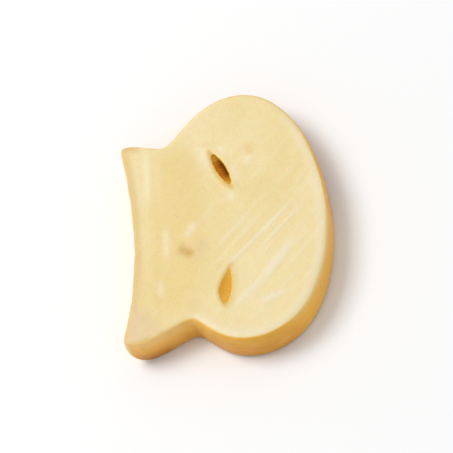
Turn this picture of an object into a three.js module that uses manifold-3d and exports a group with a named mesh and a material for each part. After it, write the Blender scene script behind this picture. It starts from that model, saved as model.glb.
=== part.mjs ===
// A slice of a closed button mushroom, as cut by a slicer with two parallel knives.
//
// Units are millimetres. +X runs along the stem from its trimmed base to the crown of the cap, +Y runs
// across the cap, and +Z is up through the thickness. The slice lies on its lower cut face, and the
// origin is the middle of its footprint.
//
// The mushroom is a body turned about the stem's axis. It grew lopsided, so it has a longer and a shorter
// half, and the skin passes smoothly from one to the other round the axis. The gill chamber is a narrow
// closed ring round the top of the stem, and each knife cut opens it as two slits.

import * as THREE from 'three';
import { ParametricGeometry } from 'three/addons/geometries/ParametricGeometry.js';
import { mergeVertices } from 'three/addons/utils/BufferGeometryUtils.js';
import Module from 'manifold-3d';

// Driving dimensions. X = 0 is the level of the middle of the gill chamber, and radii are from the axis.
const THICKNESS = 4.6; // between the two knife cuts
const CROWN_X = 11.6;
const BASE_X = -10.1; // where the trimmed base crosses the axis
const UNDERCUT = 2.4; // the base is rounded off below, so the lower face ends this much before the upper
const UPRIGHT_BASE = 3.6; // how far down from the upper face the base's rounding starts to pull it in

// Each half: the cap where it is widest, how full its dome is (0.55 makes it elliptical), the notch
// between cap and stem, the rim of the stem's base, and how much fuller than its rim the foot is above
// it, as a share of the rim's radius.
const LONG_HALF = {
  capRadius: 16.25,
  widestX: 2.5,
  domeFullness: 0.55,
  notchRadius: 10.9,
  notchX: -6.3,
  rimRadius: 11.75,
  rimX: -11.05,
  footSwell: 0.02,
};
const SHORT_HALF = {
  capRadius: 14.6,
  widestX: 2.1,
  domeFullness: 0.6,
  notchRadius: 11.25,
  notchX: -4.3,
  rimRadius: 13.2,
  rimX: -12.05,
  footSwell: 0.07,
};

// How the edge bends, as shares of the length from the widest place to the notch, or down the stem.
const MARGIN_FULLNESS = 0.6; // how far the cap keeps its width before it rolls under
const NOTCH_THROAT = 0.15; // how gently the roll runs out into the notch
const STEM_NECK = 0.15; // how far the stem keeps its waist before it flares
const STEM_FLARE = 0.35; // how far up from the base the foot is fullest
const RIM_ROUNDING = 0.5; // of the base's corner, in millimetres

// The gill chamber's lens-shaped section on each half: its inner and outer ends as [x, radius], half its
// greatest width, a skew that moves the widest place outwards (1 keeps it in the middle), and how far the
// lens bows towards the base.
const LONG_CHAMBER = { inner: [1.25, 5.0], outer: [-0.95, 9.6], halfWidth: 0.52, skew: 1.0, bow: -0.03 };
const SHORT_CHAMBER = { inner: [0.42, 5.75], outer: [-0.4, 10.2], halfWidth: 0.62, skew: 1.3, bow: 0.25 };

// Fineness of the faceted surfaces
const STEPS_AROUND = 60;
const OUTLINE_STEPS = 80;
const CHAMBER_STEPS = 20;
const SLAB_REACH = 30; // beyond the mushroom, so that only the cut faces and the rounded base meet it

const wasm = await Module();
wasm.setup();

// A half's outline from the crown, round the cap and down the stem to the base's middle.
function halfOutline(half) {
  const { capRadius, widestX, domeFullness, notchRadius, notchX, rimRadius, rimX, footSwell } = half;
  const dome = CROWN_X - widestX;
  const margin = widestX - notchX;
  const stem = notchX - rimX;
  const outline = new THREE.Path();
  outline.moveTo(CROWN_X, 0);
  outline.bezierCurveTo(
    CROWN_X, domeFullness * capRadius,
    widestX + domeFullness * dome, capRadius,
    widestX, capRadius,
  );
  outline.bezierCurveTo(
    widestX - MARGIN_FULLNESS * margin, capRadius,
    notchX + NOTCH_THROAT * margin, notchRadius,
    notchX, notchRadius,
  );
  outline.bezierCurveTo(
    notchX - STEM_NECK * stem, notchRadius,
    rimX + STEM_FLARE * stem, rimRadius * (1 + footSwell),
    rimX + RIM_ROUNDING, rimRadius,
  );
  outline.quadraticCurveTo(rimX, rimRadius, rimX, rimRadius - RIM_ROUNDING);
  outline.quadraticCurveTo(BASE_X, rimRadius / 2, BASE_X, 0);
  return (v) => outline.getPoint(v);
}

// The chamber's section as a closed curve: out along the lip near the crown, back along the other.
function chamberSection({ inner, outer, halfWidth, skew, bow }) {
  const start = new THREE.Vector2(...inner);
  const along = new THREE.Vector2(...outer).sub(start);
  const across = new THREE.Vector2(along.y, -along.x).normalize();
  return (v) => {
    const t = v < 0.5 ? 2 * v : 2 - 2 * v;
    const lip = v < 0.5 ? 1 : -1;
    const swelling = Math.sin(Math.PI * t ** skew);
    const gape = (lip * halfWidth - bow) * swelling;
    return start.clone().addScaledVector(along, t).addScaledVector(across, gape);
  };
}

// A surface turned about the X axis: the long half's curve towards +Y, the short half's towards -Y.
function turned(longCurve, shortCurve, stepsAlong) {
  const surface = (u, v, target) => {
    const angle = -2 * Math.PI * u;
    const towardsShort = (1 - Math.cos(angle)) / 2;
    const point = longCurve(v).lerp(shortCurve(v), towardsShort);
    target.set(point.x, point.y * Math.cos(angle), point.y * Math.sin(angle));
  };
  return new ParametricGeometry(surface, STEPS_AROUND, stepsAlong);
}

// A closed geometry as a solid that can be cut. The facets that shrink to nothing at a pole are left out.
function solidOf(geometry) {
  geometry.deleteAttribute('normal');
  geometry.deleteAttribute('uv');
  const merged = mergeVertices(geometry);
  const corners = merged.index.array;
  const triVerts = [];
  for (let i = 0; i < corners.length; i += 3) {
    const [a, b, c] = corners.slice(i, i + 3);
    if (a !== b && b !== c && c !== a) triVerts.push(a, b, c);
  }
  return new wasm.Manifold(new wasm.Mesh({
    numProp: 3,
    vertProperties: merged.attributes.position.array,
    triVerts: new Uint32Array(triVerts),
  }));
}

// What the knives keep: a slab as thick as the slice, whose end is rounded under the base.
function keptSlab() {
  const profile = new THREE.Shape();
  const [top, bottom] = [THICKNESS / 2, -THICKNESS / 2];
  const { rimX } = SHORT_HALF;
  profile.moveTo(rimX, top);
  profile.quadraticCurveTo(rimX, top - UPRIGHT_BASE, rimX + UNDERCUT, bottom);
  profile.lineTo(SLAB_REACH, bottom);
  profile.lineTo(SLAB_REACH, top);
  profile.closePath();
  return new THREE.ExtrudeGeometry(profile, { depth: 2 * SLAB_REACH, bevelEnabled: false })
    .translate(0, 0, -SLAB_REACH)
    .rotateX(Math.PI / 2);
}

// A solid as a geometry that stands with the middle of its footprint on the origin.
function standing(solid) {
  const mesh = solid.getMesh();
  const geometry = new THREE.BufferGeometry();
  geometry.setAttribute('position', new THREE.BufferAttribute(mesh.vertProperties, 3));
  geometry.setIndex(new THREE.BufferAttribute(mesh.triVerts, 1));
  geometry.computeBoundingBox();
  const { min, max } = geometry.boundingBox;
  geometry.translate(-(min.x + max.x) / 2, -(min.y + max.y) / 2, -min.z);
  geometry.computeVertexNormals();
  return geometry;
}

const mushroom = solidOf(
  turned(halfOutline(LONG_HALF), halfOutline(SHORT_HALF), OUTLINE_STEPS),
);
const gillChamber = solidOf(
  turned(chamberSection(LONG_CHAMBER), chamberSection(SHORT_CHAMBER), CHAMBER_STEPS),
);
const betweenKnives = solidOf(keptSlab());

const flesh = new THREE.MeshStandardMaterial({ color: 0xf2dfaf, roughness: 0.4, metalness: 0 });
const slice = new THREE.Mesh(
  standing(mushroom.subtract(gillChamber).intersect(betweenKnives)),
  flesh,
);
slice.name = 'mushroom_slice';

const model = new THREE.Group();
model.add(slice);

export default model;
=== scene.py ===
"""A slice of a cooked, closed button mushroom, lying on its cut face on a plain pale floor.

X runs up the stem to the crown of the cap, Y across the cap and Z up through the thickness. The slice
is shaped in millimetres, and each finished mesh is scaled to metres as it becomes an object.
"""

import math
from typing import NamedTuple

import bmesh
import bpy
import numpy as np
from mathutils import Matrix, Vector


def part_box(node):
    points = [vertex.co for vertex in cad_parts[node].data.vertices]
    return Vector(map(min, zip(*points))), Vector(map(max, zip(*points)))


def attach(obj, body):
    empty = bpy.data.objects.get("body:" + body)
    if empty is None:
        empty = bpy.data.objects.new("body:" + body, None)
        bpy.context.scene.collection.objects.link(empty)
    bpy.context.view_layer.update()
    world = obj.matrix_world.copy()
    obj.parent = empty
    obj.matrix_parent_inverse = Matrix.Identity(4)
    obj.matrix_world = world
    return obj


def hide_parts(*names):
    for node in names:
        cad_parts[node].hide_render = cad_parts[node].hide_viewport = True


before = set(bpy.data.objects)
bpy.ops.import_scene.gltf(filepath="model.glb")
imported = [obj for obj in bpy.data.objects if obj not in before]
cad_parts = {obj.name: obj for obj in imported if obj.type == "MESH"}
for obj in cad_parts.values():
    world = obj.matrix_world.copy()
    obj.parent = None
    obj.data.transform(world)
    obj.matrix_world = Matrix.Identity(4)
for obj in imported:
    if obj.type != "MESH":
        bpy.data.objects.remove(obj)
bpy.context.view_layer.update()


# ---------------------------------------------------------------- kinds of feature

class Ripple(NamedTuple):
    """A smooth random relief, and how far its waves are stretched along each axis."""

    height: float
    wavelength: float
    seed: int
    stretch: tuple = (1, 1, 1)
    count: int = 18  # of the waves that it is the sum of


class Chamber(NamedTuple):
    """One half of the ring-shaped gill chamber, which the knives cut open as a slit, with its gills."""

    side: int  # 1 on the longer half of the mushroom and -1 on the shorter
    inner: tuple  # end of its section, as (x, radius from the stem's axis)
    outer: tuple
    half_width: float
    skew: float  # moves the widest place outwards; 1 keeps it in the middle
    bow: float  # towards the base
    recess: float  # of the gills' roots below the cut faces
    rib_height: float  # from the furrows between the gills to their crests
    seed: int  # of its gills' uneven spacing


# ---------------------------------------------------------------- sizes, in millimetres

MM = 0.001  # metres in a millimetre
NODE = "mushroom_slice"
LOW, HIGH = (Vector(corner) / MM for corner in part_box(NODE))
THICKNESS = HIGH.z - LOW.z

# Shaping is done in the mushroom's own axes: X = 0 is the level of the gill chamber and Y = 0 the stem's
# axis. The crown and the longer half's widest place say where those axes cross in the frame.
CROWN_X = 11.6
LONG_CAP_RADIUS = 16.25
OWN_AXES = np.array((HIGH.x - CROWN_X, HIGH.y - LONG_CAP_RADIUS, 0.0))

# The fine skin that is grown over the slice before it is carved
WELD_GAP = 0.001
OUTLINE_GAP = 0.01  # between an outline's corners, below which they are taken as one
OUTLINE_LEVEL = 0.98  # of the thickness, where the upper face's outlines are taken
VOXEL = 0.15
SOFTENING_ROUNDS = 15  # of relaxing it, which round the cut edges to about 0.3 mm
SOFTNESS = 0.5  # how far a round moves a point towards the middle of its neighbours
SLIT_SOFTNESS = 0.12  # how much of that reaches the slits' lips, which stay crisp
BASE_CRISPNESS = 0.3  # of the trimmed base, where 1 is as crisp as the lips

LONG_CHAMBER = Chamber(
    side=1, inner=(1.25, 5.0), outer=(-0.95, 9.6), half_width=0.52, skew=1.0, bow=-0.03,
    recess=0.75, rib_height=0.08, seed=100,
)
SHORT_CHAMBER = Chamber(
    side=-1, inner=(0.42, 5.75), outer=(-0.4, 10.2), half_width=0.62, skew=1.3, bow=0.25,
    recess=0.3, rib_height=0.03, seed=400,
)
LONG_NOTCH_X = -6.1  # where the cap's margin closes on the stem
SHORT_NOTCH_X = -4.2

# Features of the upper face. A stroke is its start and end on the face and its half-width.
PITH = ((-5.1, -2.1), (-3.4, -3.1), 0.66)  # the small golden hollow in the middle of the stem
PITH_BRUISE = ((-3.8, -4.0), (-2.0, -1.4), 0.75)  # mauve flesh beside it
NOTCH_BRUISE = ((-4.6, -9.9), (-2.7, -9.3), 0.90)
SMUDGE = ((3.4, 9.8), (3.6, 8.2), 0.65)  # a shallow ochre dent near the long slit
BASE_BAND = ((-8.7, 10.8), (-8.9, 2.4), 1.5)  # a painted highlight: a pale band along the trimmed base
PALE_SHOULDER = ((-3.8, 10.8), (1.5, 14.6), 2.0)  # of the longer lobe, near the stem
PALE_LOBE = ((-1.8, 9.2), (6.5, 12.0), 2.4)  # its middle, which is a little less pale
STROKE_FADE = 1.3  # how fast a stroke fades towards its ends
PALE_FLECKS = (
    ((-6.4, 0.6), (-6.6, -3.3), 0.40),
    ((-7.4, -5.8), (-7.5, -8.0), 0.40),
    ((-3.2, 0.8), (-4.3, -1.0), 0.45),
    ((-8.0, 10.6), (-8.2, 4.4), 0.40),
    ((3.2, 8.3), (3.0, 7.1), 0.35),
    ((-2.0, 10.3), (-1.4, 7.4), 0.55),
    ((0.1, 9.9), (0.6, 8.7), 0.30),
    ((1.4, 7.2), (1.9, 5.2), 0.30),
    ((0.9, 4.7), (1.2, 2.7), 0.50),
    ((0.6, -5.0), (0.7, -6.4), 0.30),
)

# Lines and closed outlines on the upper face, which its finish changes at
PLUMP_MARGIN = ((8.2, -11.1), (11.2, -1.0))  # where the cap's skin shows only low down
PLUMP_REACH = 3.0
LOBE_BOUNDARY = ((-4.1, -10.8), (8.2, 2.4))  # between the ochre middle and the paler shorter lobe
FACE_BOUNDARY = ((-4.0, -12.5), (8.5, 14.0))  # the painted highlight along the cap's edge is plainest to the right of this line
OCHRE_ZONE = (
    (-6.6, 9.8), (-7.2, 2.6), (-7.6, -4.5), (-8.6, -8.2), (-5.4, -10.6), (-3.5, -7.4),
    (-2.6, -4.6), (-2.3, -1.0), (-2.4, 2.6), (-2.6, 8.1), (-3.8, 9.9),
)
OCHRE_SOFTNESS = 1.1  # of the zone's border
TAN_CORNER = ((-10.7, -8.4), (-11.8, -13.0), (-7.6, -12.2), (-8.7, -9.8))
CORNER_SOFTNESS = 0.8

# Knife streaks, each a stroke and its height
STREAKS = (
    (((-0.3, -5.6), (7.4, 1.3), 0.23), 0.044),
    (((3.6, -3.8), (8.9, 1.2), 0.19), 0.034),
    (((3.6, -7.9), (7.8, -2.8), 0.46), 0.050),
    (((0.8, -10.2), (4.3, -7.0), 0.38), 0.036),
    (((3.4, -10.2), (6.6, -9.3), 0.40), 0.044),
    (((5.7, -9.0), (7.9, -7.0), 0.24), 0.020),
    (((-0.8, -2.6), (2.7, 0.8), 0.38), 0.020),
    (((-1.2, -4.9), (3.6, 0.7), 0.20), 0.012),
    (((1.5, -2.2), (5.3, 1.8), 0.22), 0.014),
    (((6.0, 1.1), (10.6, 6.5), 0.20), 0.012),
    (((7.4, -2.5), (10.8, 0.8), 0.20), 0.014),
    (((-4.2, -0.8), (-0.7, 2.8), 0.26), 0.012),
)
UNDER_STREAKS = (
    (((-6.5, -8.5), (3.5, 3.0), 0.30), 0.045),
    (((-2.5, -10.5), (8.5, 2.0), 0.26), 0.040),
    (((0.0, 2.5), (7.5, 11.0), 0.36), 0.038),
    (((-8.5, 3.5), (-0.5, 12.5), 0.30), 0.038),
)
STREAK_GROOVE = 0.6  # how deep the groove beside a streak is, as a share of its height
GROOVE_OFFSET = 1.6  # of the groove from the streak, in half-widths
PLAIN_STREAK = 0.04  # the height from which a streak shows at its palest
MOST_KNIFED = ((2.0, -6.0), (8.0, 2.0))  # where the drag lines are plainest
KNIFED_REACH = 7.0
KNIFE_ANGLE = math.radians(46)  # of the blade's travel over the face, from +X

# Ripples. A ripple's waves differ in length by these shares of its own.
WAVE_SPREAD = (0.7, 1.5)

# Relief of the cut faces. The drag lines and growth bands are made at a height of 1 and scaled later.
BROAD_SWELL = Ripple(0.05, 12.0, 1, (1, 1, 9))
SMALL_SWELL = Ripple(0.02, 5.0, 2, (1, 1, 9))
STEM_FIBRES = Ripple(0.008, 1.1, 4, (9, 1, 9), 30)
UNDER_FIBRES = 2.0  # times as plain as the upper face's
DRAG_LINES = Ripple(1.0, 0.8, 3, (14, 1, 1), 30)
DRAG_HEIGHT = 0.004
MOST_DRAG_HEIGHT = 0.008  # more than that, where the face is most knifed
GROWTH_BANDS = Ripple(1.0, 1.5, 9, (1, 9, 9), 24)
BAND_HEIGHT = 0.008
FLECK_HEIGHT = 0.01
PITH_DEPTH = 0.15
UNDER_PITH_DEPTH = 0.12
SMUDGE_DEPTH = 0.04
UPPER_SINK = 0.05  # of each face below the solid's, which leaves its raised marks their room
UNDER_SINK = 0.14
PROUD = 0.08  # how far the upper face's marks may stand above the solid's

# A lip or band along an edge: its height or strength, how far in it lies and its half-width
EDGE_LIP = (0.02, 0.8, 0.45)
SLIT_LIP = (0.04, 0.35, 0.3)
# the pale edge band is a painted highlight just inside the cut faces' edge
PALE_EDGE_BAND = (1.0, 0.65, 0.5)
LIP_GILDING = (1.0, 0.0, 0.42)  # the gold round the slits

# Relief of the outer edge, of the trimmed base and of the slits' walls
EDGE_BULGE = 0.08
WRINKLES = Ripple(0.020, 1.3, 5, (4, 4, 1), 24)
FINE_WRINKLES = Ripple(0.010, 0.6, 11, (5, 5, 1), 24)
TORN_FIBRES = Ripple(0.035, 2.0, 6, (1, 1, 2), 30)
FINE_TORN_FIBRES = Ripple(0.008, 0.7, 7, (1, 1, 3), 30)
CREASE_DEPTH = 0.06
CREASE_WIDTH = 0.28
HOLLOW_WIDTH = 1.8  # of the painted light that lifts the shaded skin round a notch
WALL_RIPPLE = Ripple(0.03, 0.7, 8, count=24)
WALL_DARKEST = 2.0  # how far below the faces the painted shade on a slit's wall is at its darkest
GOLDEN_INNER_END = 0.9  # how far the painted light at the long slit's ends reaches, gold where the walls' painted shade is held back
GOLDEN_OUTER_END = 1.1

# How far below the upper face the outer edge's skin sets in, along a line that wavers
SKIN_NONE = -0.2
SKIN_FULL = 0.25
PLUMP_SKIN_DROP = 0.6  # how much further down it is full round the plump margin
SKIN_BORDER = Ripple(0.1, 2.5, 10)

# Ramps, from where there is none of something to where there is all of it: of the normals' parts
FACE_UP = (0.6, 0.95)
BASE_OUT = (0.25, 0.55)
TRIMMED_OUT = (0.2, 0.45)

# Along X
ON_CAP = (-2.5, 1.5)
ON_STEM = (1.5, -3.5)
ON_STEM_EDGE = (-1.5, -5.0)
ON_BANDS = (-5.0, -8.0)
ON_FOOT = (-5.0, -8.5)
ON_BASE = (-8.2, -9.2)
NEAR_BASE = (-8.4, -9.6)
CRISP_BASE = (-8.6, -9.8)

# Of the distance from an edge, a slit, a line or a face
BY_EDGE = (1.3, 0.3)
BY_SLIT = (1.3, 0.3)
IN_SLIT = (0.9, 0.5)
PAST_SLIT = (0.25, -0.25)
ON_SHORT_SIDE = (1.0, -1.0)
PAST_LOBE_BOUNDARY = (0.7, -0.7)
PAST_FACE_BOUNDARY = (1.5, -1.5)
CREASE_DEEPENS = (0.6, 2.6)
CLEAR_OF_FLOOR = (0.02, 0.22)  # as shares of the thickness

# Of the drag lines' and the growth bands' own height of 1
LINE_CREST = (-0.3, 1.4)
BAND_CREST = (-0.3, 1.5)

# How plain a mark still is where it is faintest
FAINTEST_LINES = 0.2
FAINTEST_EDGE_BAND = 0.15
FAINTEST_GILDING = 0.3
NOTCH_BRUISE_SHARE = 0.5  # of the bruise by the pith
PALE_LOBE_SHARE = 0.7  # of the pale shoulder
UNDER_PITH_SHARE = 0.5  # of the upper face's golden pith


# ---------------------------------------------------------------- shaping helpers

def smooth_step(value, low, high):
    """0 up to low, 1 from high, and a soft ramp between; low may be the larger."""
    t = np.clip((value - low) / (high - low), 0.0, 1.0)
    return t * t * (3.0 - 2.0 * t)


def bell(distance, width):
    """1 at no distance, fading over width."""
    return np.exp(-((distance / width) ** 2))


def at_least(least, share):
    """A share of 0 to 1 squeezed into least to 1."""
    return least + (1.0 - least) * share


def waves(points, ripple):
    """The height of a ripple at each point."""
    rng = np.random.default_rng(ripple.seed)
    directions = rng.normal(size=(ripple.count, 3))
    directions /= np.linalg.norm(directions, axis=1)[:, None]
    lengths = ripple.wavelength * rng.uniform(*WAVE_SPREAD, ripple.count)
    phases = rng.uniform(0.0, 2.0 * np.pi, ripple.count)
    turns = 2.0 * np.pi * directions / lengths[:, None] / np.array(ripple.stretch)
    return ripple.height * np.sin(points @ turns.T + phases).sum(axis=1) / math.sqrt(ripple.count)


def from_segment(flat, start, end):
    """How far each flat point lies from a segment, and how far along it as a share of its length."""
    start, end = np.array(start), np.array(end)
    run = end - start
    share = (flat - start) @ run / (run @ run)
    nearest = start + np.clip(share, 0.0, 1.0)[:, None] * run
    return np.linalg.norm(flat - nearest, axis=1), share


def side_of_line(flat, start, end):
    """The signed distance from a line: positive on its left, seen from start."""
    run = np.array(end) - np.array(start)
    left = np.array((-run[1], run[0])) / np.linalg.norm(run)
    return (flat - np.array(start)) @ left


def from_outline(flat, outline):
    """How far each flat point lies from a closed outline."""
    nearest = np.full(len(flat), np.inf)
    for start, end in zip(outline, np.roll(outline, -1, axis=0)):
        nearest = np.minimum(nearest, from_segment(flat, start, end)[0])
    return nearest


def zone(flat, outline, softness):
    """1 well inside a closed outline and 0 well outside it, with a soft border."""
    outline = np.array(outline)
    inside = np.zeros(len(flat), dtype=bool)
    for (x0, y0), (x1, y1) in zip(outline, np.roll(outline, -1, axis=0)):
        if y0 != y1:
            level_with = (y0 > flat[:, 1]) != (y1 > flat[:, 1])
            crossing = x0 + (flat[:, 1] - y0) * (x1 - x0) / (y1 - y0)
            inside ^= level_with & (flat[:, 0] < crossing)
    distance = from_outline(flat, outline) * np.where(inside, 1.0, -1.0)
    return smooth_step(distance, -softness, softness)


def stroke(flat, start, end, half_width):
    """1 along the middle of a soft stroke, fading over its half-width and towards its ends."""
    share = from_segment(flat, start, end)[1]
    return bell(side_of_line(flat, start, end), half_width) * np.exp(-STROKE_FADE * (2.0 * share - 1.0) ** 4)


def streak_lines(flat, streaks):
    """Raised strokes with a shallower groove beside each, and how strongly each point lies on one."""
    height, on_line = np.zeros(len(flat)), np.zeros(len(flat))
    for (start, end, half_width), rise in streaks:
        ridge = stroke(flat, start, end, half_width)
        aside = np.array((end[1] - start[1], start[0] - end[0]))
        aside *= GROOVE_OFFSET * half_width / np.linalg.norm(aside)
        groove = stroke(flat, start + aside, end + aside, half_width)
        height += rise * (ridge - STREAK_GROOVE * groove)
        on_line = np.maximum(on_line, ridge * min(1.0, rise / PLAIN_STREAK))
    return height, on_line


def along_edge(distance, strength, inset, half_width):
    """A soft lip or band that follows an edge."""
    return strength * bell(distance - inset, half_width)


# ---------------------------------------------------------------- meshes

def points_of(mesh):
    """A mesh's vertices as rows of x, y, z."""
    flat = np.empty(3 * len(mesh.vertices))
    mesh.vertices.foreach_get("co", flat)
    return flat.reshape(-1, 3)


def normals_of(mesh):
    """The normals at a mesh's vertices, as rows of x, y, z."""
    flat = np.empty(3 * len(mesh.vertices))
    mesh.vertex_normals.foreach_get("vector", flat)
    return flat.reshape(-1, 3)


def set_points(mesh, points):
    """Moves a mesh's vertices to these rows of x, y, z."""
    mesh.vertices.foreach_set("co", np.asarray(points, dtype=np.float32).ravel())
    mesh.update()


def weld(mesh):
    """Joins the corners that faces share."""
    joined = bmesh.new()
    joined.from_mesh(mesh)
    bmesh.ops.remove_doubles(joined, verts=joined.verts[:], dist=WELD_GAP)
    joined.to_mesh(mesh)
    joined.free()


def face_outlines(mesh, level):
    """The closed outlines where a level plane cuts a mesh, the longest first."""
    cut = bmesh.new()
    cut.from_mesh(mesh)
    everything = cut.verts[:] + cut.edges[:] + cut.faces[:]
    bmesh.ops.bisect_plane(
        cut, geom=everything, plane_co=(0, 0, level), plane_no=(0, 0, 1),
        clear_inner=True, clear_outer=True,
    )
    bmesh.ops.remove_doubles(cut, verts=cut.verts[:], dist=OUTLINE_GAP)
    unseen = set(cut.verts)
    loops = []
    while unseen:
        corner = min(unseen, key=lambda v: (v.co.x, v.co.y))
        loop = []
        while corner is not None:
            unseen.discard(corner)
            loop.append(corner.co.xy[:])
            neighbours = [edge.other_vert(corner) for edge in corner.link_edges]
            corner = next((v for v in neighbours if v in unseen), None)
        loops.append(np.array(loop))
    cut.free()
    return sorted(loops, key=len, reverse=True)


def remeshed(mesh):
    """A mesh under a fine, even skin."""
    holder = bpy.data.objects.new("holder", mesh)
    bpy.context.scene.collection.objects.link(holder)
    remesh = holder.modifiers.new("remesh", "REMESH")
    remesh.mode = "VOXEL"
    remesh.voxel_size = VOXEL
    seen = holder.evaluated_get(bpy.context.evaluated_depsgraph_get())
    result = bpy.data.meshes.new_from_object(seen)
    bpy.data.objects.remove(holder)
    return result


def relaxed(points, mesh, rounds, softness):
    """Points moved towards the middle of their neighbours, round after round, by their own softness."""
    edges = np.empty(2 * len(mesh.edges), dtype=np.int64)
    mesh.edges.foreach_get("vertices", edges)
    here, there = edges.reshape(-1, 2).T
    count = len(points)
    neighbours = np.bincount(here, minlength=count) + np.bincount(there, minlength=count)
    for _ in range(rounds):
        middle = np.empty_like(points)
        for axis in range(3):
            values = points[:, axis]
            middle[:, axis] = np.bincount(here, values[there], count)
            middle[:, axis] += np.bincount(there, values[here], count)
        middle /= neighbours[:, None]
        points = points + softness[:, None] * (middle - points)
    return points


def block_mesh(points, side):
    """A closed mesh round layers of rows of points, whose faces look outward on the mirrored side too."""
    layers, rows, columns = points.shape[:3]
    count = rows * columns
    grid = np.arange(count).reshape(rows, columns)
    corners = (grid[:-1, :-1], grid[1:, :-1], grid[1:, 1:], grid[:-1, 1:])
    top = np.stack(corners, axis=-1).reshape(-1, 4)
    bottom = top[:, ::-1] + (layers - 1) * count
    ring = np.concatenate((grid[:, 0], grid[-1, 1:], grid[-2::-1, -1], grid[0, -2:0:-1]))
    after = np.roll(ring, -1)
    wall = np.stack((after, ring, ring + count, after + count), axis=-1)
    walls = [wall + layer * count for layer in range(layers - 1)]
    quads = np.concatenate((top, bottom, *walls))
    mesh = bpy.data.meshes.new("block")
    mesh.from_pydata(points.reshape(-1, 3).tolist(), [], quads[:, ::side].tolist())
    mesh.update()
    return mesh


def add_masks(mesh, masks):
    """Stores one number for each vertex under each mask's name, for the finish to read."""
    for name, values in masks.items():
        attribute = mesh.attributes.new(name, "FLOAT", "POINT")
        attribute.data.foreach_set("value", np.clip(values, 0.0, 1.0).astype(np.float32).ravel())


def piece(name, mesh, finish):
    """A finished mesh as an object in metres that moves with the slice."""
    mesh.name = name
    set_points(mesh, (points_of(mesh) + OWN_AXES) * MM)
    mesh.polygons.foreach_set("use_smooth", [True] * len(mesh.polygons))
    mesh.materials.clear()
    mesh.materials.append(finish)
    made = bpy.data.objects.new(name, mesh)
    bpy.context.scene.collection.objects.link(made)
    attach(made, "root")
    return made


# ---------------------------------------------------------------- the flesh

def grown_skin():
    """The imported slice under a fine, even, softened skin, and the outlines of its upper face."""
    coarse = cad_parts[NODE].data.copy()
    set_points(coarse, points_of(coarse) / MM - OWN_AXES)
    weld(coarse)
    outer, *slits = face_outlines(coarse, OUTLINE_LEVEL * THICKNESS)
    fine = remeshed(coarse)
    points = points_of(fine)
    gap = np.minimum(*(from_outline(points[:, :2], slit) for slit in slits))
    crisp_base = BASE_CRISPNESS * smooth_step(points[:, 0], *CRISP_BASE)
    crisp = np.maximum(smooth_step(gap, *BY_SLIT), crisp_base)
    softness = SOFTNESS * (1.0 - (1.0 - SLIT_SOFTNESS) * crisp)
    set_points(fine, relaxed(points, fine, SOFTENING_ROUNDS, softness))
    return fine, outer, slits


class Skin:
    """Where each point of the grown skin lies: on which face, and how near each edge."""

    def __init__(self, mesh, outer, slits):
        self.points, self.normals = points_of(mesh), normals_of(mesh)
        self.flat = self.points[:, :2]
        self.x, self.y = self.flat.T
        self.level = self.points[:, 2] / THICKNESS
        self.depth = (1.0 - self.level) * THICKNESS
        self.edge = from_outline(self.flat, outer)
        self.gap = np.minimum(*(from_outline(self.flat, slit) for slit in slits))

        outwards = -self.normals[:, 0]
        self.top = smooth_step(self.normals[:, 2], *FACE_UP)
        self.base = (1.0 - self.top) * smooth_step(outwards, *BASE_OUT) * smooth_step(self.x, *ON_BASE)
        self.trimmed = smooth_step(outwards, *TRIMMED_OUT) * smooth_step(self.x, *ON_BASE)
        self.under = smooth_step(-self.normals[:, 2], *FACE_UP) * (1.0 - self.base)
        self.faces = self.top + self.under
        side = 1.0 - self.top - self.under
        self.wall = side * smooth_step(self.gap, *IN_SLIT)
        self.rim = side - self.wall

        self.stem = smooth_step(self.x, *ON_STEM)
        self.short_side = smooth_step(self.y, *ON_SHORT_SIDE)
        past_slit = smooth_step(side_of_line(self.flat, LONG_CHAMBER.inner, LONG_CHAMBER.outer), *PAST_SLIT)
        self.base_ward = 1.0 - past_slit
        self.lower_lobe = smooth_step(side_of_line(self.flat, *LOBE_BOUNDARY), *PAST_LOBE_BOUNDARY)


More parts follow.
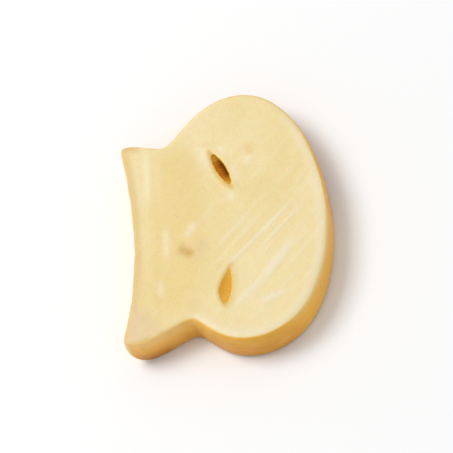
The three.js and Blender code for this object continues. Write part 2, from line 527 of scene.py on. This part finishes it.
def carved_faces(skin):
    """The relief of the two cut faces, and the masks of their marks."""
    flat, top, under, faces = skin.flat, skin.top, skin.under, skin.faces

    # Gentle swelling, and a lifted lip at the edge and round the slits
    swell = waves(skin.points, BROAD_SWELL) + waves(skin.points, SMALL_SWELL)
    lip = along_edge(skin.edge, *EDGE_LIP) + along_edge(skin.gap, *SLIT_LIP)

    # The knife's own marks: named streaks, and fine drag lines along its travel
    travel = np.array((math.cos(KNIFE_ANGLE), math.sin(KNIFE_ANGLE)))
    cross = np.array((-travel[1], travel[0]))
    dragged = np.column_stack((flat @ travel, flat @ cross, np.zeros(len(flat))))
    lines = waves(dragged, DRAG_LINES)
    knifed = smooth_step(skin.x, *ON_CAP) * bell(from_segment(flat, *MOST_KNIFED)[0], KNIFED_REACH)
    drag_lines = (DRAG_HEIGHT + MOST_DRAG_HEIGHT * knifed) * lines
    streak_height, streak = streak_lines(flat, STREAKS)
    under_height, under_streak = streak_lines(flat, UNDER_STREAKS)

    # The stem's fibres run along it, its growth left faint bands across it, and its pith has sunk in
    fibres = skin.stem * waves(skin.points, STEM_FIBRES)
    bands = smooth_step(skin.x, *ON_BANDS) * waves(skin.points, GROWTH_BANDS)
    pith, smudge = stroke(flat, *PITH), stroke(flat, *SMUDGE)
    flecks = np.max([stroke(flat, *fleck) for fleck in PALE_FLECKS], axis=0)

    raised = swell + lip + drag_lines + fibres + streak_height + FLECK_HEIGHT * flecks + BAND_HEIGHT * bands
    upper = raised - PITH_DEPTH * pith - SMUDGE_DEPTH * smudge - UPPER_SINK
    lower = swell + drag_lines + UNDER_FIBRES * fibres + under_height - UNDER_PITH_DEPTH * pith - UNDER_SINK

    right = smooth_step(side_of_line(flat, *FACE_BOUNDARY), *PAST_FACE_BOUNDARY)
    bruise = np.maximum(stroke(flat, *PITH_BRUISE), NOTCH_BRUISE_SHARE * stroke(flat, *NOTCH_BRUISE))
    shoulder = np.maximum(stroke(flat, *PALE_SHOULDER), PALE_LOBE_SHARE * stroke(flat, *PALE_LOBE))
    gilding = at_least(FAINTEST_GILDING, np.maximum(skin.base_ward, skin.short_side))
    edge_highlight = at_least(FAINTEST_EDGE_BAND, right)
    masks = {
        "streak": top * streak + under * under_streak,
        "lines": faces * at_least(FAINTEST_LINES, knifed) * smooth_step(lines, *LINE_CREST),
        "pale": top * flecks,
        "edge_highlight": faces * edge_highlight * along_edge(skin.edge, *PALE_EDGE_BAND),
        "slit_lip": faces * gilding * along_edge(skin.gap, *LIP_GILDING),
        "ochre": top * zone(flat, OCHRE_ZONE, OCHRE_SOFTNESS) + under * skin.stem * (1.0 - skin.lower_lobe),
        "base_band": top * stroke(flat, *BASE_BAND),
        "bands": faces * smooth_step(bands, *BAND_CREST),
        "base_edge_shade": smooth_step(skin.edge, *BY_EDGE) * smooth_step(skin.x, *NEAR_BASE),
        "shoulder": top * shoulder,
        "tan_corner": top * zone(flat, TAN_CORNER, CORNER_SOFTNESS),
        "lower_lobe": skin.lower_lobe,
        "pith": (top + UNDER_PITH_SHARE * under) * pith,
        "bruise": top * bruise,
        "smudge": top * smudge,
    }
    return top * upper + under * lower, masks


def carved_rim(skin):
    """The relief of the outer edge and of the trimmed base, and the masks of their skin.

    The edge bulges a little and is wrinkled along its length, and the trimmed base is fibrous.
    """
    points, rim, base = skin.points, skin.rim, skin.base
    bulge = EDGE_BULGE * (1.0 - (2.0 * skin.level - 1.0) ** 2)
    from_notch = skin.x - np.where(skin.y > 0, LONG_NOTCH_X, SHORT_NOTCH_X)
    crease = bell(from_notch, CREASE_WIDTH) * smooth_step(skin.depth, *CREASE_DEEPENS)
    wrinkled = waves(points, WRINKLES) + waves(points, FINE_WRINKLES) - CREASE_DEPTH * crease
    torn = waves(points, TORN_FIBRES) + waves(points, FINE_TORN_FIBRES)
    above_floor = smooth_step(skin.level, *CLEAR_OF_FLOOR)
    relief = bulge + above_floor * ((1.0 - base) * wrinkled + base * torn)

    plump = bell(from_segment(skin.flat, *PLUMP_MARGIN)[0], PLUMP_REACH)
    skin_full = SKIN_FULL + PLUMP_SKIN_DROP * plump + waves(points, SKIN_BORDER)
    masks = {
        "rim": rim,
        "skin": rim * smooth_step(skin.depth, SKIN_NONE, skin_full),
        "plump": rim * plump,
        "trimmed": skin.trimmed,
        "rim_depth": rim * (1.0 - skin.level),
        "stem_edge": rim * smooth_step(skin.x, *ON_STEM_EDGE),
        # where the painted shade low on the edge is deepest
        "foot": rim * smooth_step(skin.x, *ON_FOOT),
        "crease": rim * crease,
        # where painted light lifts the shaded skin round a notch
        "hollow": rim * bell(from_notch, HOLLOW_WIDTH),
    }
    return rim * relief, masks


def carved_walls(skin):
    """The relief of the slits' walls, and the masks of their colours and of the shade painted on them."""
    wall = skin.wall
    below_face = np.minimum(skin.level, 1.0 - skin.level) * THICKNESS
    inner_end = bell(np.linalg.norm(skin.flat - LONG_CHAMBER.inner, axis=1), GOLDEN_INNER_END)
    outer_end = bell(np.linalg.norm(skin.flat - LONG_CHAMBER.outer, axis=1), GOLDEN_OUTER_END)
    masks = {
        "wall": wall,
        "wall_depth": wall * below_face / WALL_DARKEST,
        "stem_wall": wall * skin.base_ward,
        "slit_ends": wall * np.maximum(inner_end, outer_end),
        "short_side": skin.short_side,
    }
    return wall * waves(skin.points, WALL_RIPPLE), masks


def carve_flesh():
    """The slice's flesh with its sculpted faces, edge and slits, and masks of where each is."""
    mesh, outer, slits = grown_skin()
    skin = Skin(mesh, outer, slits)
    relief = np.zeros(len(skin.points))
    for carved in (carved_faces, carved_rim, carved_walls):
        heights, masks = carved(skin)
        relief += heights
        add_masks(mesh, masks)
    points = skin.points + skin.normals * relief[:, None]
    points[:, 2] = np.clip(points[:, 2], 0.0, THICKNESS + PROUD)
    set_points(mesh, points)
    return mesh


# ---------------------------------------------------------------- the gills

GILL_SPAN = (0.03, 0.985)  # the shares of the chamber's length that they stand between
GILL_ROOT = 0.12  # how deep the gills are rooted in the flesh
GILL_RISE = 0.65  # how much nearer to the cut faces their free edges end than their roots
GILL_END_RISE = 0.4  # and how much nearer they end towards the slit's ends
GILL_PITCH = 0.34  # from one gill to the next, where the knife crossed them
GILL_STEPS = (160, 24, 9)  # of their mesh: along the chamber, across it, and from face to face
GILL_WAVER = 0.4  # of their spacing, in pitches
GILL_WAVER_LENGTH = 1.4
INNER_END = (0.38, 0.08)  # ramps towards the slit's ends, in shares of its length
OUTER_END = (0.62, 0.92)


def packed_gills(chamber):
    """The young gills of one half of the chamber, packed into a body whose ends are ribbed."""
    along, across, layers = GILL_STEPS
    inner, outer = np.array(chamber.inner), np.array(chamber.outer)
    run = outer - inner
    to_cap = np.array((run[1], -run[0])) / np.linalg.norm(run)
    share = np.linspace(*GILL_SPAN, along)[:, None]
    fall = np.linspace(0.0, 1.0, across)[None, :]
    swelling = np.sin(np.pi * share ** chamber.skew)
    half_width = chamber.half_width * swelling + GILL_ROOT
    offset = half_width * (1.0 - 2.0 * fall) - chamber.bow * swelling
    x = inner[0] + share * run[0] + offset * to_cap[0]
    radius = inner[1] + share * run[1] + offset * to_cap[1]

    # Their ends by the two cut faces, as angles round the stem's axis from its own level
    near_end = np.maximum(smooth_step(share, *INNER_END), smooth_step(share, *OUTER_END))
    rooted = chamber.recess * (1.0 - GILL_RISE * fall) * (1.0 - GILL_END_RISE * near_end)
    place = np.column_stack((x.ravel(), radius.ravel(), np.zeros(x.size)))
    turns, ribs = [], []
    for up in (1, -1):
        ripple = Ripple(GILL_WAVER, GILL_WAVER_LENGTH, chamber.seed + up)
        waver = waves(place, ripple).reshape(x.shape)
        rib = 0.5 + 0.5 * np.cos(2.0 * np.pi * (radius / GILL_PITCH + waver))
        depth = rooted + chamber.rib_height * (1.0 - rib)
        turns.append(up * np.arcsin((THICKNESS / 2 - depth) / radius))
        ribs.append(rib)

    lower = np.linspace(0.0, 1.0, layers)[:, None, None]
    turn = turns[0] * (1.0 - lower) + turns[1] * lower
    rib = ribs[0] * (1.0 - lower) + ribs[1] * lower
    y = chamber.side * radius * np.cos(turn)
    z = THICKNESS / 2 + radius * np.sin(turn)
    mesh = block_mesh(np.stack((np.broadcast_to(x, y.shape), y, z), axis=-1), chamber.side)
    masks = {"free_edge": fall, "near_end": near_end, "rib": rib}
    add_masks(mesh, {name: np.broadcast_to(values, y.shape) for name, values in masks.items()})
    return mesh


# ---------------------------------------------------------------- finishes

class Value:
    """A shader socket that Python's operators work on: each operator adds its Math node."""

    def __init__(self, finish, socket):
        self.finish = finish
        self.socket = socket

    def math(self, operation, first, second):
        return self.finish.add(
            "ShaderNodeMath", {"operation": operation}, {0: first, 1: second},
        )

    def __add__(self, other):
        return self.math("ADD", self, other)

    def __sub__(self, other):
        return self.math("SUBTRACT", self, other)

    def __rsub__(self, other):
        return self.math("SUBTRACT", other, self)

    def __mul__(self, other):
        return self.math("MULTIPLY", self, other)

    __radd__ = __add__
    __rmul__ = __mul__


class Finish:
    """A material whose nodes are added one call at a time."""

    MIX_A, MIX_B, MIX_RESULT = 6, 7, 2  # the colour sockets of a Mix node

    def __init__(self, name):
        self.material = bpy.data.materials.new(name)
        self.material.use_nodes = True
        self.tree = self.material.node_tree
        self.tree.nodes.clear()

    def add(self, kind, settings=None, inputs=None, output=0):
        """A node with its settings, then its sockets' values or links, as one of its outputs."""
        node = self.tree.nodes.new(kind)
        for name, value in (settings or {}).items():
            setattr(node, name, value)
        for key, value in (inputs or {}).items():
            if isinstance(value, Value):
                self.tree.links.new(value.socket, node.inputs[key])
            else:
                node.inputs[key].default_value = value
        return Value(self, node.outputs[output]) if node.outputs else None

    def mask(self, name):
        """A mask that was stored on the mesh."""
        settings = {"attribute_type": "GEOMETRY", "attribute_name": name}
        return self.add("ShaderNodeAttribute", settings, output="Fac")

    def place(self, stretch, turn):
        """Where on the object a point is, in millimetres, squeezed along each axis by its stretch."""
        here = self.add("ShaderNodeTexCoord", output="Object")
        scale = [1.0 / (MM * s) for s in stretch]
        turned = self.add(
            "ShaderNodeVectorRotate", {"rotation_type": "Z_AXIS"}, {"Vector": here, "Angle": -turn},
        )
        return self.add(
            "ShaderNodeVectorMath", {"operation": "MULTIPLY"}, {0: turned, 1: scale},
        )

    def noise(self, size, detail, stretch=(1.0, 1.0, 1.0), turn=0.0):
        """Soft noise of about 0 to 1 with features of this size in millimetres."""
        inputs = {"Vector": self.place(stretch, turn), "Scale": 1.0 / size, "Detail": detail}
        return self.add("ShaderNodeTexNoise", {}, inputs, output="Fac")

    def step(self, value, low, high):
        """0 up to low, 1 from high, and a soft ramp between."""
        return self.add(
            "ShaderNodeMapRange", {"interpolation_type": "SMOOTHSTEP"},
            {"Value": value, "From Min": low, "From Max": high},
        )

    def mix(self, share, first, second):
        """A colour between two colours."""
        return self.add(
            "ShaderNodeMix", {"data_type": "RGBA"},
            {0: share, self.MIX_A: first, self.MIX_B: second}, self.MIX_RESULT,
        )

    def tinted(self, shade, *tints):
        """A colour under others that are laid over it in turn, each given as (mask, share, colour)."""
        for mask, share, tint in tints:
            shade = self.mix(self.mask(mask) * share, shade, tint)
        return shade

    def bump(self, height, depth, strength):
        """A normal for relief of this depth in millimetres."""
        return self.add(
            "ShaderNodeBump", {}, {"Height": height, "Distance": depth * MM, "Strength": strength},
        )

    def surface(self, **sockets):
        """Ends the material with a Principled surface."""
        inputs = {name.replace("_", " "): value for name, value in sockets.items()}
        shader = self.add("ShaderNodeBsdfPrincipled", {}, inputs)
        self.add("ShaderNodeOutputMaterial", {}, {"Surface": shader})
        return self.material


def colour(red, green, blue):
    """A display colour of 0 to 255 as the linear colour that a shader takes."""
    shares = [c / 255.0 for c in (red, green, blue)]
    linear = [s / 12.92 if s <= 0.04045 else ((s + 0.055) / 1.055) ** 2.4 for s in shares]
    return (*linear, 1.0)


# Flesh, from the palest
MILK = colour(245, 235, 210)
# the colour below is a painted highlight, for knife streaks and the cut faces' edge
HIGHLIGHT_CREAM = colour(237, 227, 203)
PALE_CREAM = colour(241, 226, 183)
CREAM = colour(235, 215, 157)
OCHRE = colour(233, 209, 144)
DEEP_OCHRE = colour(226, 194, 118)
ROSY_TAN = colour(226, 200, 158)
TRIM_TAN = colour(228, 196, 138)
BASE_TAN = colour(219, 189, 124)
MAUVE = colour(222, 190, 150)
PITH_GOLD = colour(208, 160, 72)

# Skin: its golds are partly its own tan and partly painted shade, the golden glow of a shaded edge lit
# through the flesh
PALE_GOLD = colour(244, 190, 92)
CROWN_GOLD = colour(252, 192, 66)
GOLD = colour(230, 176, 56)
LIP_GOLD = colour(222, 174, 60)
AMBER = colour(216, 146, 26)
TOFFEE = colour(164, 94, 14)

# Slits and gills
GILL_GOLD = colour(226, 174, 72)
GILL_ORANGE = colour(218, 152, 42)
GILL_BROWN = colour(222, 132, 14)
UMBER = colour(136, 70, 4)
GILL_UMBER = colour(116, 62, 2)
GILL_DARK = colour(104, 54, 0)

FLOOR_WHITE = colour(248, 248, 248)
FLOOR_BRIGHT = colour(250, 250, 250)


def flesh_finish():
    """Moist cooked flesh: cream cap, ochre stem, a golden edge that is partly painted shade, umber painted
    shade in the slits, and painted highlights on knife streaks and edges.
    """
    f = Finish("moist_flesh")
    clouds = f.noise(size=5.0, detail=3.0)
    blotches = f.noise(size=3.0, detail=3.0)
    mottle = f.noise(size=0.9, detail=4.0)
    fibrils = f.noise(size=0.4, detail=4.0, stretch=(3.0, 3.0, 1.0))
    fibres = f.noise(size=0.35, detail=3.0, stretch=(7.0, 1.0, 1.0))
    drag = f.noise(size=0.22, detail=2.0, stretch=(16.0, 1.0, 1.0), turn=KNIFE_ANGLE)
    pores = f.noise(size=0.22, detail=3.0)

    # The cut faces
    face = f.mix(f.step(clouds, 0.4, 0.75) * 0.35, CREAM, PALE_CREAM)
    face = f.tinted(face, ("lower_lobe", 0.25, PALE_CREAM))
    face = f.mix(f.mask("ochre") * (0.55 + 0.45 * f.step(clouds, 0.3, 0.7)), face, OCHRE)
    face = f.tinted(
        face,
        ("shoulder", 0.5, PALE_CREAM),
        # painted highlight: a pale band along the trimmed base
        ("base_band", 0.4, PALE_CREAM),
        ("bands", 0.2, DEEP_OCHRE),
        # painted shade: tan along the face's edge by the trimmed base
        ("base_edge_shade", 0.95, BASE_TAN),
        ("tan_corner", 0.75, ROSY_TAN),
    )
    face = f.mix(f.step(mottle, 0.4, 0.75) * 0.15, face, DEEP_OCHRE)
    # painted highlight: a pale band just inside the cut faces' edge
    face = f.tinted(face, ("edge_highlight", 0.4, HIGHLIGHT_CREAM))
    # painted highlight on the crests of the knife's drag lines
    face = f.mix(f.mask("lines") * 0.35 * f.step(drag, 0.3, 0.7), face, MILK)
    face = f.tinted(
        face,
        ("pale", 0.42, MILK),
        # painted highlight on the knife streaks' ridges
        ("streak", 0.7, HIGHLIGHT_CREAM),
        ("smudge", 0.45, DEEP_OCHRE),
        ("bruise", 0.4, MAUVE),
        ("pith", 0.68, PITH_GOLD),
        ("slit_lip", 0.7, LIP_GOLD),
    )

    # The skin of the outer edge, which darkens downwards as painted shade, and the trimmed base
    rim_depth, plump, stem_edge = f.mask("rim_depth"), f.mask("plump"), f.mask("stem_edge")
    # painted shade: the gold turns amber down the edge, away from the light
    skin = f.mix(f.step(rim_depth, 0.0, 0.6), GOLD, AMBER)
    # painted light: paler gold, and cream at the very top, high on the edge by the stem
    skin = f.mix(stem_edge * (1.0 - f.step(rim_depth, 0.15, 0.7)), skin, PALE_GOLD)
    skin = f.mix(stem_edge * (1.0 - f.step(rim_depth, 0.08, 0.3)) * 0.4, skin, CREAM)
    # painted light: gold lifts the shaded skin round the notches and the plump margin
    skin = f.tinted(skin, ("hollow", 0.5, GOLD), ("plump", 0.75, CROWN_GOLD))
    # painted shade: toffee low on the edge, deepest at the stem's foot, like a contact shadow
    darker = f.step(rim_depth, 0.45, 1.0) * (0.15 + 0.65 * f.mask("foot")) * (1.0 - plump)
    skin = f.mix(darker, skin, TOFFEE)
    skin = f.mix(f.step(blotches, 0.45, 0.7) * 0.4, skin, PALE_GOLD)
    skin = f.mix(f.step(fibrils, 0.5, 0.85) * 0.2, skin, TOFFEE)
    skin = f.mix(f.step(fibrils, 0.5, 0.2) * 0.3, skin, PALE_GOLD)
    # painted shade in the notches' creases
    skin = f.tinted(skin, ("crease", 0.15, TOFFEE))
    trimmed = f.mix(f.step(mottle, 0.35, 0.7) * 0.6, TRIM_TAN, OCHRE)
    trimmed = f.mix(f.step(clouds, 0.45, 0.75) * 0.4, trimmed, PALE_CREAM)
    skin = f.mix(f.mask("trimmed"), skin, trimmed)

    # The slits' walls, painted darker with their depth as painted shade, except at the slits' ends
    wall_depth = f.step(f.mask("wall_depth"), 0.05, 0.6)
    shaded = wall_depth * (1.0 - 0.8 * f.mask("short_side")) * (1.0 - 0.85 * f.mask("slit_ends"))
    inside = f.mix(shaded * (1.0 - 0.6 * f.mask("stem_wall")), GOLD, UMBER)

    body = f.mix(f.mask("skin"), face, skin)
    body = f.mix(f.step(f.mask("wall"), 0.15, 0.85), body, inside)
    rim = f.mask("rim")
    relief = pores * 0.9 + fibres * f.mask("ochre") * 0.7 + drag * (1.0 - rim) * 0.5 + fibrils * rim
    return f.surface(
        Base_Color=body,
        Roughness=0.32 + 0.26 * mottle,
        Specular_IOR_Level=0.32,
        Normal=f.bump(relief, depth=0.08, strength=0.7),
        Subsurface_Weight=0.35,
        Subsurface_Radius=(1.0, 0.55, 0.22),
        Subsurface_Scale=1.2 * MM,
        Coat_Weight=0.08,
        Coat_Roughness=0.2,
    )


def gill_finish(name, root, free_edge, furrow):
    """Moist packed gills: they change colour from root to free edge, are golden near the slit's ends
    and darker in the furrows between them as painted shade; the brown gills' dark roots are painted shade
    too."""
    f = Finish(name)
    shade = f.mix(f.step(f.mask("free_edge"), 0.1, 1.0), root, free_edge)
    # painted shade in the furrows between the gills
    shade = f.mix((1.0 - f.mask("rib")) * 0.35, shade, furrow)
    shade = f.tinted(shade, ("near_end", 0.8, GOLD))
    grain = f.noise(size=0.15, detail=3.0)
    return f.surface(
        Base_Color=shade,
        Roughness=0.5,
        Specular_IOR_Level=0.15,
        Normal=f.bump(grain, depth=0.03, strength=0.8),
    )


def floor_finish():
    """Matt white, very faintly clouded."""
    f = Finish("plain_pale_floor")
    shade = f.mix(f.noise(size=30.0, detail=1.0) * 0.3, FLOOR_WHITE, FLOOR_BRIGHT)
    return f.surface(Base_Color=shade, Roughness=0.8)


# ---------------------------------------------------------------- the stage, in metres

FLOOR_SIZE = 3.0
FLOOR_GAP = 0.00002  # under the resting face, so that the two don't lie in one plane
SKY_STRENGTH = 0.62
KEY_TOWARDS = (-0.49, 0.15, 0.85)
KEY_DISTANCE = 0.6
KEY_SIZE = 0.3
KEY_POWER = 1.95
CAMERA_AZIMUTH = math.radians(16)
CAMERA_ELEVATION = math.radians(60)
CAMERA_ROLL = math.radians(22.4)
CAMERA_DISTANCE = 0.6
CAMERA_CLIP_START = 0.01
SHARE_OF_FRAME = 0.59  # how much of the square frame's height the slice takes up


def add_floor():
    """A plain square floor under the slice."""
    mesh = bpy.data.meshes.new("floor")
    half = FLOOR_SIZE / 2
    corners = [(-half, -half, 0), (half, -half, 0), (half, half, 0), (-half, half, 0)]
    mesh.from_pydata(corners, [], [(0, 1, 2, 3)])
    mesh.materials.append(floor_finish())
    floor = bpy.data.objects.new("floor", mesh)
    bpy.context.scene.collection.objects.link(floor)
    floor.location.z = -FLOOR_GAP


def add_key_light():
    """A square soft box that faces the slice."""
    light = bpy.data.lights.new("key", "AREA")
    light.size = KEY_SIZE
    light.energy = KEY_POWER
    lamp = bpy.data.objects.new("key", light)
    bpy.context.scene.collection.objects.link(lamp)
    direction = Vector(KEY_TOWARDS).normalized()
    lamp.location = direction * KEY_DISTANCE
    lamp.rotation_euler = direction.to_track_quat("Z", "Y").to_euler()


def add_sky():
    """Even white light from all round."""
    world = bpy.data.worlds.new("studio")
    world.use_nodes = True
    backdrop = world.node_tree.nodes["Background"]
    backdrop.inputs["Color"].default_value = (1.0, 1.0, 1.0, 1.0)
    backdrop.inputs["Strength"].default_value = SKY_STRENGTH
    bpy.context.scene.world = world


def add_camera():
    """Looks down on the face with a long lens, rolled so that the stem points to the left."""
    azimuth, elevation = CAMERA_AZIMUTH, CAMERA_ELEVATION
    back = Vector((
        math.sin(azimuth) * math.cos(elevation),
        -math.cos(azimuth) * math.cos(elevation),
        math.sin(elevation),
    ))
    level_right = Vector((math.cos(azimuth), math.sin(azimuth), 0.0))
    level_up = back.cross(level_right)
    right = level_right * math.cos(CAMERA_ROLL) - level_up * math.sin(CAMERA_ROLL)
    up = back.cross(right)
    corners = [v.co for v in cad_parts[NODE].data.vertices]
    spans = []
    for axis in (right, up):
        reach = [corner.dot(axis) for corner in corners]
        spans.append((min(reach), max(reach)))
    middle = [(low + high) / 2 for low, high in spans]
    height = spans[1][1] - spans[1][0]
    centre = Vector((0, 0, THICKNESS * MM / 2))
    target = right * middle[0] + up * middle[1] + back * centre.dot(back)

    view = bpy.data.cameras.new("camera")
    view.lens = view.sensor_width * CAMERA_DISTANCE / (height / SHARE_OF_FRAME)
    view.clip_start = CAMERA_CLIP_START
    camera = bpy.data.objects.new("camera", view)
    turn = Matrix((right, up, back)).transposed().to_4x4()
    camera.matrix_world = Matrix.Translation(target + back * CAMERA_DISTANCE) @ turn
    bpy.context.scene.collection.objects.link(camera)
    bpy.context.scene.camera = camera


flesh = piece("flesh", carve_flesh(), flesh_finish())
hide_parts(NODE)
# the brown gills' umber roots are painted shade deep in the long slit
brown_gills = gill_finish("brown_gills", GILL_UMBER, GILL_BROWN, GILL_DARK)
golden_gills = gill_finish("golden_gills", GILL_GOLD, GILL_ORANGE, AMBER)
piece("gills_long_side", packed_gills(LONG_CHAMBER), brown_gills)
piece("gills_short_side", packed_gills(SHORT_CHAMBER), golden_gills)

add_floor()
add_camera()
add_sky()
add_key_light()
bpy.context.scene.view_settings.view_transform = "Standard"
